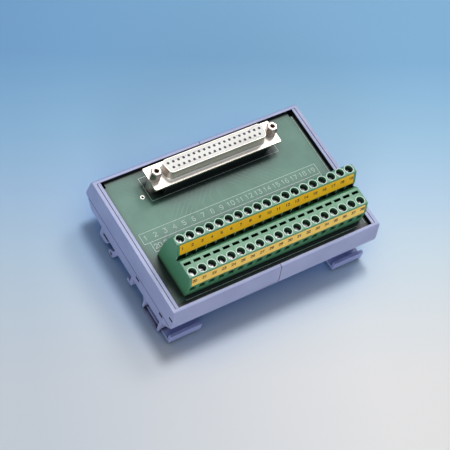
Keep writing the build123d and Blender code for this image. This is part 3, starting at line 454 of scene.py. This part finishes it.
def rubbed_nylon():
    # Sharp edges of the same green nylon, painted pale and glossy for the highlight they catch
    material, tree, shader, place = new_finish("painted_highlight_edge", "#C4DFD0", 0.28)
    tree.links.new(patchy(tree, place, 1.5, "#B5D6C4", "#D3E8DC"), shader.inputs["Base Color"])
    return material


def marker_plastic(name, dark, light):
    # Extruded vinyl strip: smooth, slightly glossy
    return moulded_plastic(name, dark, light, 0.40, 1.4, 0.006)[0]


def solder_mask():
    """Green solder mask, printed over glass weave that shows as a faint ripple. The cut edges
    are bare yellowish laminate. Painted shade: a near-black band round the board under the rim and
    in front of the terminals, for the shadow there, and darkening near walls."""
    material, tree, shader, place = new_finish("solder_mask_green", "#4D7A68", 0.42, ior=1.45)
    mask = patchy(tree, place, 9.0, "#4A7766", "#588573")
    facing = add_node(tree, "ShaderNodeNewGeometry").outputs["True Normal"]
    up = add_node(tree, "ShaderNodeSeparateXYZ", {"Vector": facing}).outputs["Z"]
    flat = add_node(tree, "ShaderNodeMath", {0: up}, operation="ABSOLUTE").outputs[0]
    is_face = add_node(
        tree, "ShaderNodeMath", {0: flat, 1: 0.5}, operation="GREATER_THAN"
    ).outputs[0]
    colour = add_node(
        tree,
        "ShaderNodeMix",
        {0: is_face, MIX_FIRST: linear("#A9A86B"), MIX_SECOND: mask},
        data_type="RGBA",
    ).outputs[MIX_RESULT]
    # painted shade: outside this box the board is painted near black, for the shadow by the rim and
    # in front of the terminals
    clear = inside(
        tree,
        place,
        (-PAINTED_SHADE_EDGE_X, PAINTED_SHADE_EDGE_FRONT, 0),
        (PAINTED_SHADE_EDGE_X, PAINTED_SHADE_EDGE_BACK, BOARD_TOP + MM),
    )
    colour = add_node(
        tree,
        "ShaderNodeMix",
        {0: clear, MIX_FIRST: linear("#0B0E0D"), MIX_SECOND: colour},
        data_type="RGBA",
    ).outputs[MIX_RESULT]
    # painted shade: the board darkens where walls and parts stand near
    tree.links.new(
        crevice_shade(tree, colour, BOARD_SHADE, 0.6, "#161C1A"), shader.inputs["Base Color"]
    )
    tree.links.new(grain(tree, place, 0.7, 0.006, detail=1.0), shader.inputs["Normal"])
    return material


def masked_copper():
    # Copper under the mask: the same green, a little lighter and warmer, with the board's painted
    # shade near walls
    material, tree, shader, place = new_finish("solder_mask_over_copper", "#568270", 0.40)
    colour = patchy(tree, place, 6.0, "#4E7D69", "#598774")
    tree.links.new(
        crevice_shade(tree, colour, BOARD_SHADE, 0.6, "#161C1A"), shader.inputs["Base Color"]
    )
    return material


def ink(name, dark, light, roughness):
    # Screen-printed ink: matte, a little uneven where it lies thin
    material, tree, shader, place = new_finish(name, light, roughness)
    tree.links.new(patchy(tree, place, 0.8, dark, light), shader.inputs["Base Color"])
    return material


def plated_metal(name, dark, light, roughness, streak, streak_mm, stretch):
    """Plated metal with streaks of that width, drawn out along X by the stretch. The real ones
    are a few hundredths of a millimetre wide and are drawn coarser, so that they show."""
    material, tree, shader, place = new_finish(name, light, roughness, metallic=1.0)
    drawn = add_node(
        tree, "ShaderNodeMapping", {"Vector": place, "Scale": (1 / stretch, 1.0, 1.0)}
    ).outputs["Vector"]
    tree.links.new(patchy(tree, drawn, streak_mm, dark, light), shader.inputs["Base Color"])
    tree.links.new(
        clouds(tree, drawn, streak_mm, 4.0, roughness - streak, roughness + streak),
        shader.inputs["Roughness"],
    )
    tree.links.new(grain(tree, drawn, streak_mm, 0.003), shader.inputs["Normal"])
    return material


def shell_steel():
    # Drawn steel under matte tin: bright, soft reflections, faint rolling streaks
    return plated_metal("tinned_drawn_steel", "#C8BCB1", "#DCD1C6", 0.42, 0.06, 0.9, 12.0)


def screw_steel():
    # Zinc-plated turned steel: brighter, with small clouds
    return plated_metal("zinc_plated_steel", "#CDC5C2", "#E8E0DD", 0.30, 0.08, 0.8, 1.0)


def jack_steel():
    # Turned steel under nickel: darker and warmer than the zinc, with sharper reflections
    return plated_metal("nickel_plated_steel", "#8F7F78", "#B3A59D", 0.26, 0.06, 0.9, 1.0)


def spring_steel():
    # Cold-rolled spring strip, blank: grey, with fine streaks along the strip
    return plated_metal("spring_steel", "#8E9094", "#B4B6B9", 0.30, 0.06, 0.7, 8.0)


def cage_brass():
    # Stamped brass under nickel: pale and slightly yellow, with a soft sheen
    return plated_metal("nickel_plated_brass", "#B4AE9C", "#CFC9B8", 0.34, 0.06, 0.9, 1.0)


def pin_brass():
    # Drawn brass wire under tin: pale and matte, as solder leaves it
    return plated_metal("tinned_brass", "#BFBCB2", "#DAD7CE", 0.38, 0.06, 0.9, 1.0)


def contact_gold():
    # Turned brass with a flash of gold: deep yellow and smooth
    return plated_metal("gold_flashed_brass", "#C79B45", "#E2BC66", 0.28, 0.05, 0.8, 1.0)


def face_plastic():
    # White glass-filled polyester, the socket's face: smooth, faintly speckled by the fibres
    return moulded_plastic(
        "glass_filled_polyester_white", "#E6E2DC", "#F4F1EC", 0.42, 0.8, 0.006
    )[0]


def base_plastic():
    # Black glass-filled polyester under the flange: the same moulding, duller
    return moulded_plastic(
        "glass_filled_polyester_black", "#0F1011", "#1B1C1E", 0.44, 0.8, 0.010
    )[0]


FINISHES = {
    "carrier_plastic": carrier_nylon(),
    "latch_plastic": latch_nylon(),
    "spring_steel": spring_steel(),
    "board_laminate": solder_mask(),
    "terminal_plastic": housing_nylon(),
    "marker_plastic": marker_plastic("extruded_vinyl_amber", "#FFBE00", "#FFC808"),
    "shell_steel": shell_steel(),
    "face_plastic": face_plastic(),
    "base_plastic": base_plastic(),
    "contact_brass": contact_gold(),
    "screw_steel": screw_steel(),
    "cage_brass": cage_brass(),
    "pin_brass": pin_brass(),
}
OWN_FINISHES = {
    "jackscrews": jack_steel(),
    "marker_strip_lower": marker_plastic("extruded_vinyl_yellow", "#FFCF5A", "#FFD866"),
}
# pale finish that paints the highlight on the driver-hole rims and the ribs between wire entries
RIM_HIGHLIGHT_FINISH = rubbed_nylon()
SILK_INK = ink("white_screen_ink", "#B9CFC4", "#D5E4DB", 0.6)
MARK_INK = ink("brown_marking_ink", "#40220A", "#523013", 0.6)


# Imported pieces: rounded edges and finishes

EDGE_RADIUS = {
    "carrier_plastic": 0.25 * MM,
    "latch_plastic": 0.2 * MM,
    "terminal_plastic": 0.12 * MM,
    "marker_plastic": 0.08 * MM,
    "board_laminate": 0.05 * MM,
    "base_plastic": 0.12 * MM,
    "face_plastic": 0.08 * MM,
    "shell_steel": 0.08 * MM,
    "screw_steel": 0.10 * MM,
}
SHARP_ANGLE = math.radians(40)
WELD_WITHIN = 0.001 * MM


def round_edges(piece, radius):
    """Join the loose facets, then give every sharp edge a small radius that catches light."""
    weld = piece.modifiers.new("join facets", "WELD")
    weld.merge_threshold = WELD_WITHIN
    bevel = piece.modifiers.new("edge radius", "BEVEL")
    bevel.width = radius
    bevel.segments = 2
    bevel.limit_method = "ANGLE"
    bevel.angle_limit = SHARP_ANGLE
    bevel.harden_normals = False


def dress_packed_pieces():
    slots = {part["node"]: part["material_slot"] for part in frame["record"]["subparts"]}
    for name, piece in frame["nodes"].items():
        slot = slots[name]
        material = OWN_FINISHES.get(name, FINISHES[slot])
        piece.data.materials.clear()
        piece.data.materials.append(material)
        if slot in EDGE_RADIUS:
            round_edges(piece, EDGE_RADIUS[slot])


# Meshes from arrays


def make_piece(name, points, faces, material, smooth=False):
    """Mesh of the points and faces, in place, riding with the carrier."""
    mesh = bpy.data.meshes.new(name)
    mesh.from_pydata(np.asarray(points).reshape(-1, 3).tolist(), [], np.asarray(faces).tolist())
    mesh.materials.append(material)
    mesh.polygons.foreach_set("use_smooth", np.full(len(mesh.polygons), smooth))
    mesh.update()
    piece = bpy.data.objects.new(name, mesh)
    bpy.context.scene.collection.objects.link(piece)
    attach(piece, BODY)
    return piece


def grid_faces(rows, columns, wrap_rows=False, wrap_columns=False):
    """Quads between neighbours of a grid of points; a wrapped way joins its last to its first."""
    row = np.arange(rows if wrap_rows else rows - 1)
    column = np.arange(columns if wrap_columns else columns - 1)
    row, column = np.meshgrid(row, column, indexing="ij")
    next_row = (row + 1) % rows
    next_column = (column + 1) % columns
    corners = [
        row * columns + column,
        next_row * columns + column,
        next_row * columns + next_column,
        row * columns + next_column,
    ]
    return np.stack(corners, axis=-1).reshape(-1, 4)


def repeat_faces(faces, points_each, count):
    """The same faces for each of several copies of a set of points."""
    shift = np.arange(count)[:, None, None] * points_each
    return (faces[None] + shift).reshape(-1, faces.shape[1])


def ribbon(path, width):
    """Flat strip along a path in a plane: each corner moves out along the mean of its two
    normals, by half the width over the cosine of half the turn. Returns points and faces."""
    path = np.asarray(path, float)
    closed = np.allclose(path[0], path[-1]) and len(path) > 2
    if closed:
        path = path[:-1]
    way = np.roll(path, -1, axis=0) - path
    if not closed:
        way[-1] = way[-2]
    way /= np.linalg.norm(way, axis=1, keepdims=True)
    normal = np.stack([-way[:, 1], way[:, 0]], axis=1)
    before = np.roll(normal, 1, axis=0)
    if not closed:
        before[0] = normal[0]
    mean = normal + before
    cosine = np.clip(1 + (normal * before).sum(axis=1, keepdims=True), MITRE_LIMIT, None)
    offset = mean / cosine * width / 2
    if not closed:
        path = path.copy()
        path[0] -= way[0] * width / 2
        path[-1] += way[-1] * width / 2
    points = np.stack([path + offset, path - offset], axis=1).reshape(-1, 2)
    return points, grid_faces(len(path), 2, wrap_rows=closed)[:, ::-1]


def number_paths(text, x, y, height):
    """Stroke paths of a number whose middle is at x, y."""
    size = height / STROKE_HEIGHT
    width = (len(text) - 1) * STROKE_ADVANCE + STROKE_WIDTH
    paths = []
    for place, digit in enumerate(text):
        for stroke in STROKES[digit]:
            left = place * STROKE_ADVANCE - width / 2
            paths.append(
                [(x + (u + left) * size, y + (v - STROKE_HEIGHT / 2) * size) for u, v in stroke]
            )
    return paths


def print_paths(name, paths, width, origin, right, up, rise, material):
    """Ribbons laid on a plane: origin plus right and up times the flat points, plus the rise."""
    origin, right, up = (np.array(v) for v in (origin, right, up))
    normal = np.cross(right, up)
    points, faces, count = [], [], 0
    for path in paths:
        flat, quads = ribbon(path, width)
        points.append(origin + flat[:, :1] * right + flat[:, 1:] * up + normal * rise)
        faces.append(quads + count)
        count += len(flat)
    return make_piece(name, np.vstack(points), np.vstack(faces), material)


# Printing and copper


def print_on_board(name, paths, width, rise, material):
    """Ribbons laid on the board's upper face."""
    print_paths(
        name, paths, width, (0, 0, BOARD_TOP), (1, 0, 0), (0, 1, 0), rise, material,
    )


def board_numbers():
    """Numbers 1 to 19 in one row and 20 to 37 in the next, at the terminals' pitch."""
    paths = []
    for i in range(BACK_CONTACTS):
        x = FIRST_NUMBER_X + i * NUMBER_PITCH
        paths += number_paths(str(i + 1), x, NUMBER_ROW_Y, DIGIT_HEIGHT)
    for i in range(FRONT_CONTACTS):
        x = SECOND_ROW_START_X + i * NUMBER_PITCH
        paths += number_paths(str(BACK_CONTACTS + i + 1), x, SECOND_ROW_Y, DIGIT_HEIGHT)
    print_on_board("board_numbers", paths, DIGIT_LINE, SILK_RISE, SILK_INK)


def board_outlines():
    """Printed frames: round the two rows of numbers and round the socket. Lines before the
    terminals and along the right edge."""
    socket_front = SOCKET_MIDDLE.y - SOCKET_OUTLINE_FRONT
    socket_back = SOCKET_MIDDLE.y + SOCKET_OUTLINE_BACK
    paths = [
        [
            (BOX_LEFT_X, BOX_TOP_Y),
            (BOX_LEFT_X, BOX_MIDDLE_Y),
            (BOX_STEP_X, BOX_MIDDLE_Y),
            (BOX_STEP_X, BOX_BOTTOM_Y),
            (BOX_RIGHT_X, BOX_BOTTOM_Y),
            (BOX_RIGHT_X, BOX_TOP_Y),
            (BOX_LEFT_X, BOX_TOP_Y),
        ],
        [(BOX_STEP_X, BOX_MIDDLE_Y), (BOX_RIGHT_X, BOX_MIDDLE_Y)],
        [
            (-SOCKET_OUTLINE_X, socket_back),
            (-SOCKET_OUTLINE_X, socket_front),
            (SOCKET_OUTLINE_X, socket_front),
            (SOCKET_OUTLINE_X, socket_back),
            (-SOCKET_OUTLINE_X, socket_back),
        ],
        [(BOX_STEP_X, FRONT_LINE_Y), (BOX_RIGHT_X, FRONT_LINE_Y)],
        [(EDGE_LINE_X, FRONT_LINE_Y), (EDGE_LINE_X, -FRONT_LINE_Y)],
    ]
    print_on_board("board_outlines", paths, SILK_LINE, SILK_RISE, SILK_INK)


def board_tracks():
    """Tracks from the socket's front row: straight out, then at 45 degrees to their terminal."""
    start_y = SOCKET_MIDDLE.y - SOCKET_ROW
    end_y = UPPER_POLES[0].y
    paths = []
    for i in range(FRONT_CONTACTS):
        start_x = (i - (FRONT_CONTACTS - 1) / 2) * SOCKET_PITCH
        end_x = UPPER_POLES[i if i < FRONT_CONTACTS / 2 else i + 1].x
        turn_y = TRACK_BEND_Y - abs(end_x - start_x)
        paths.append([(start_x, start_y), (start_x, TRACK_BEND_Y), (end_x, turn_y), (end_x, end_y)])
    print_on_board("board_tracks", paths, TRACK_WIDTH, TRACK_RISE, masked_copper())


def rings(name, centres, inner, outer, rise, foot, material, sides=24):
    """Rounded rims: at each centre, half an ellipse from the inner to the outer radius, turned
    round Z. The ellipse stands on upright walls that are sunk by the foot."""
    arc = np.linspace(0, math.pi, 7)
    middle_radius = (inner + outer) / 2
    radius = np.r_[inner, middle_radius - (outer - inner) / 2 * np.cos(arc), outer]
    level = np.r_[-foot, rise * np.sin(arc), -foot]
    turn = np.linspace(0, 2 * math.pi, sides, endpoint=False)
    one = np.stack(
        [
            radius[None] * np.cos(turn)[:, None],
            radius[None] * np.sin(turn)[:, None],
            np.broadcast_to(level, (sides, len(level))),
        ],
        axis=-1,
    ).reshape(-1, 3)
    faces = repeat_faces(
        grid_faces(sides, len(level), wrap_rows=True, wrap_columns=True), len(one), len(centres)
    )
    points = (np.array(centres)[:, None] + one[None]).reshape(-1, 3)
    return make_piece(name, points, faces, material, smooth=True)


def driver_hole_rims():
    # painted highlight: pale rings round the driver holes, for the light their edges catch
    centres = [(pole.x, pole.y, UPPER_TOP) for pole in UPPER_POLES]
    centres += [(pole.x, pole.y, LOWER_TOP) for pole in LOWER_POLES]
    rings(
        "driver_hole_rims", centres, RIM_INNER, RIM_OUTER, RIM_RISE, RIM_FOOT,
        RIM_HIGHLIGHT_FINISH,
    )


def mouth_ribs():
    """Painted highlight on the walls between the upper wire entries: a thin pale upright strip at
    each joint, on the face under the upper marker strip, for their lit edges."""
    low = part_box("marker_strip_upper")[0]
    joints = [UPPER_POLES[0].x + (i - 0.5) * POLE_PITCH for i in range(POLES + 1)]
    paths = [[(x, -RIB_HEIGHT), (x, -RIB_GAP)] for x in joints]
    print_paths(
        "mouth_ribs", paths, RIB_WIDTH, (0, low.y, low.z), (1, 0, 0), (0, 0, 1),
        SILK_RISE, RIM_HIGHLIGHT_FINISH,
    )


def cap_step_lines():
    """Painted shade: a fine dark line under the step of each end cap, on the part that is set back,
    for the shadow under the step.
    """
    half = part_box("end_cap_right")[1].x - CAP_STEP_DEPTH
    path = [(-CAP_STEP_LINE_HALF, CAP_STEP_LINE_Z), (CAP_STEP_LINE_HALF, CAP_STEP_LINE_Z)]
    material = shaded_nylon()
    for side, name in ((-1, "cap_step_shade_left"), (1, "cap_step_shade_right")):
        print_paths(
            name, [path], CAP_STEP_LINE, (side * half, 0, 0), (0, side, 0), (0, 0, 1),
            SILK_RISE, material,
        )


def tooling_hole_ring():
    """Tinned land round the tooling hole, left of the socket."""
    rings(
        "tooling_hole_ring", [(*TOOLING_HOLE, BOARD_TOP)], LAND_INNER, LAND_OUTER, LAND_RISE,
        LAND_FOOT, FINISHES["pin_brass"],
    )


def strip_marks(name, node, numbers, poles):
    """Numbers on a marker strip, one at each pole, on the strip's sloping face."""
    corners = np.array([corner.co for corner in frame["nodes"][node].data.vertices])
    top = corners[corners[:, 2].argmax()] * (0, 1, 1)
    bottom = corners[corners[:, 1].argmin()] * (0, 1, 1)
    up = (top - bottom) / np.linalg.norm(top - bottom)
    centre = bottom + (top - bottom) * MARK_HEIGHT_SHARE
    paths = []
    for number, pole in zip(numbers, poles):
        paths += number_paths(str(number), pole.x, 0, MARK_HEIGHT)
    print_paths(
        name, paths, MARK_LINE, centre, (1, 0, 0), up, MARK_RISE, MARK_INK
    )


def socket_hole_mouths():
    """Painted shade in the lead-ins of the holes in the socket's face: flat black rings round each
    hole.
    """
    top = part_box("dsub_socket_insulator")[1].z
    centres = []
    for count, side in ((BACK_CONTACTS, 1), (FRONT_CONTACTS, -1)):
        y = SOCKET_MIDDLE.y + side * SOCKET_ROW
        for i in range(count):
            x = SOCKET_MIDDLE.x + (i - (count - 1) / 2) * SOCKET_PITCH
            centres.append((x, y, top))
    # black rings of painted shade, in the finish of the socket's black base
    rings(
        "socket_hole_mouths", centres, MOUTH_INNER, MOUTH_OUTER, MOUTH_RISE, MOUTH_FOOT,
        FINISHES["base_plastic"], sides=12,
    )


def jack_threads():
    """Thread in each jackscrew: a V profile carried down a helix of the 4-40 pitch."""
    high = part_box("jackscrews")[1]
    top = high.z - THREAD_START
    steps = THREAD_TURNS * THREAD_STEPS
    turn = np.linspace(0, THREAD_TURNS * 2 * math.pi, steps)
    drop = turn / (2 * math.pi) * THREAD_PITCH
    radius = np.array([THREAD_ROOT, THREAD_CORE, THREAD_ROOT])
    level = np.array([0.0, -THREAD_PITCH / 2, -THREAD_PITCH])
    one = np.stack(
        [
            radius[None] * np.cos(turn)[:, None],
            radius[None] * np.sin(turn)[:, None],
            level[None] - drop[:, None],
        ],
        axis=-1,
    ).reshape(-1, 3)
    centres = np.array(
        [(SOCKET_MIDDLE.x + side * JACK_X, SOCKET_MIDDLE.y, top) for side in (-1, 1)]
    )
    points = (centres[:, None] + one[None]).reshape(-1, 3)
    faces = repeat_faces(grid_faces(steps, 3), len(one), 2)
    make_piece(
        "jack_threads", points, faces, OWN_FINISHES["jackscrews"], smooth=True
    )


# Stage, light and camera


def floor():
    """Pale studio paper under the piece, lit evenly, and bluer the farther it runs back, with
    painted shadow round the piece.
    """
    half = FLOOR_SIZE / 2
    mesh = bpy.data.meshes.new("floor")
    corners = [(-half, -half, 0), (half, -half, 0), (half, half, 0), (-half, half, 0)]
    mesh.from_pydata(corners, [], [(0, 1, 2, 3)])
    piece = bpy.data.objects.new("floor", mesh)
    bpy.context.scene.collection.objects.link(piece)
    # Matte seamless paper with a fade from pale grey to sky blue, darker towards the left
    material, tree, shader, place = new_finish("sprayed_studio_paper", "#D9E2EA", 0.8)
    ahead = add_node(
        tree, "ShaderNodeVectorMath", {0: place, 1: FADE_DIRECTION}, operation="DOT_PRODUCT"
    ).outputs["Value"]
    distance = add_node(
        tree,
        "ShaderNodeMapRange",
        {"Value": ahead, "From Min": FADE_NEAR, "From Max": FADE_FAR},
    ).outputs["Result"]
    ramp = add_node(tree, "ShaderNodeValToRGB", {"Fac": distance})
    stops = ramp.color_ramp.elements
    stops[0].color = linear(FADE_COLOURS[0.0])
    stops[1].color = linear(FADE_COLOURS[1.0])
    for share, colour in FADE_COLOURS.items():
        if 0 < share < 1:
            stops.new(share).color = linear(colour)
    across = add_node(
        tree, "ShaderNodeVectorMath", {0: place, 1: DIM_DIRECTION}, operation="DOT_PRODUCT"
    ).outputs["Value"]
    to_right = add_node(
        tree, "ShaderNodeMapRange", {"Value": across, "From Min": DIM_LEFT, "From Max": DIM_RIGHT}
    ).outputs["Result"]
    dim = add_node(
        tree,
        "ShaderNodeMix",
        {0: to_right, MIX_FIRST: linear(DIM_TINT), MIX_SECOND: linear("#FFFFFF")},
        data_type="RGBA",
    ).outputs[MIX_RESULT]
    colour = add_node(
        tree, "ShaderNodeVectorMath", {0: ramp.outputs["Color"], 1: dim}, operation="MULTIPLY"
    ).outputs[0]
    # painted shadow: the paper darkens towards blue round and under the piece
    tree.links.new(
        crevice_shade(tree, colour, FLOOR_SHADE, 0.1, "#80B2EE"), shader.inputs["Base Color"]
    )
    mesh.materials.append(material)


def sun(name, azimuth, elevation, strength, angle):
    """Soft lamp, far away in that direction from the piece."""
    data = bpy.data.lights.new(name, "SUN")
    data.energy = strength
    data.angle = angle
    lamp = bpy.data.objects.new(name, data)
    towards = Vector(
        (
            math.cos(elevation) * math.cos(azimuth),
            math.cos(elevation) * math.sin(azimuth),
            math.sin(elevation),
        )
    )
    lamp.rotation_euler = towards.to_track_quat("Z", "Y").to_euler()
    lamp.location = towards
    bpy.context.scene.collection.objects.link(lamp)


def studio_light():
    """Key, a wide soft lamp above, one low behind whose gleam lies on the far part of the board,
    and a low fill from the front left."""
    sun("key", KEY_AZIMUTH, KEY_ELEVATION, KEY_STRENGTH, KEY_ANGLE)
    sun("soft", SOFT_AZIMUTH, SOFT_ELEVATION, SOFT_STRENGTH, SOFT_ANGLE)
    sun("back", BACK_AZIMUTH, BACK_ELEVATION, BACK_STRENGTH, BACK_ANGLE)
    sun("fill", FILL_AZIMUTH, FILL_ELEVATION, FILL_STRENGTH, FILL_ANGLE)
    world = bpy.data.worlds.new("studio")
    world.use_nodes = True
    bpy.context.scene.world = world
    tree = world.node_tree
    sky = tree.nodes["Background"]
    sky.inputs["Color"].default_value = linear("#DCE8F6")
    sky.inputs["Strength"].default_value = SKY_STRENGTH
    # What the camera and shiny metal see behind the piece is paper, not the dim sky
    backdrop = add_node(tree, "ShaderNodeBackground", {"Color": linear("#C6DAEA")})
    path = add_node(tree, "ShaderNodeLightPath")
    seen = add_node(
        tree,
        "ShaderNodeMath",
        {0: path.outputs["Is Camera Ray"], 1: path.outputs["Is Glossy Ray"]},
        operation="MAXIMUM",
    )
    seen = add_node(
        tree,
        "ShaderNodeMath",
        {0: seen.outputs[0], 1: path.outputs["Is Transmission Ray"]},
        operation="MAXIMUM",
    )
    mix = add_node(
        tree,
        "ShaderNodeMixShader",
        {0: seen.outputs[0], 1: sky.outputs[0], 2: backdrop.outputs[0]},
    )
    tree.links.new(mix.outputs[0], tree.nodes["World Output"].inputs["Surface"])


def camera():
    """Camera at the photograph's place: the level frame turned about the line of sight."""
    az, el, roll = CAMERA_AZIMUTH, CAMERA_ELEVATION, CAMERA_ROLL
    back = Vector((math.cos(el) * math.cos(az), math.cos(el) * math.sin(az), math.sin(el)))
    level_right = Vector((0, 0, 1)).cross(back).normalized()
    level_up = back.cross(level_right)
    right = math.cos(roll) * level_right + math.sin(roll) * level_up
    up = back.cross(right)
    eye = AIM + CAMERA_DISTANCE * back
    data = bpy.data.cameras.new("camera")
    data.lens = LENS
    data.sensor_width = 36.0
    data.clip_start = 0.01
    made = bpy.data.objects.new("camera", data)
    made.matrix_world = Matrix(
        (
            (right.x, up.x, back.x, eye.x),
            (right.y, up.y, back.y, eye.y),
            (right.z, up.z, back.z, eye.z),
            (0, 0, 0, 1),
        )
    )
    bpy.context.scene.collection.objects.link(made)
    bpy.context.scene.camera = made


dress_packed_pieces()
board_numbers()
board_outlines()
board_tracks()
driver_hole_rims()
mouth_ribs()
cap_step_lines()
tooling_hole_ring()
strip_marks("upper_strip_numbers", "marker_strip_upper", range(1, POLES + 1), UPPER_POLES)
strip_marks(
    "lower_strip_numbers", "marker_strip_lower", range(POLES + 1, 2 * POLES + 1), LOWER_POLES
)
socket_hole_mouths()
jack_threads()
floor()
studio_light()
camera()
bpy.context.scene.view_settings.view_transform = "Standard"
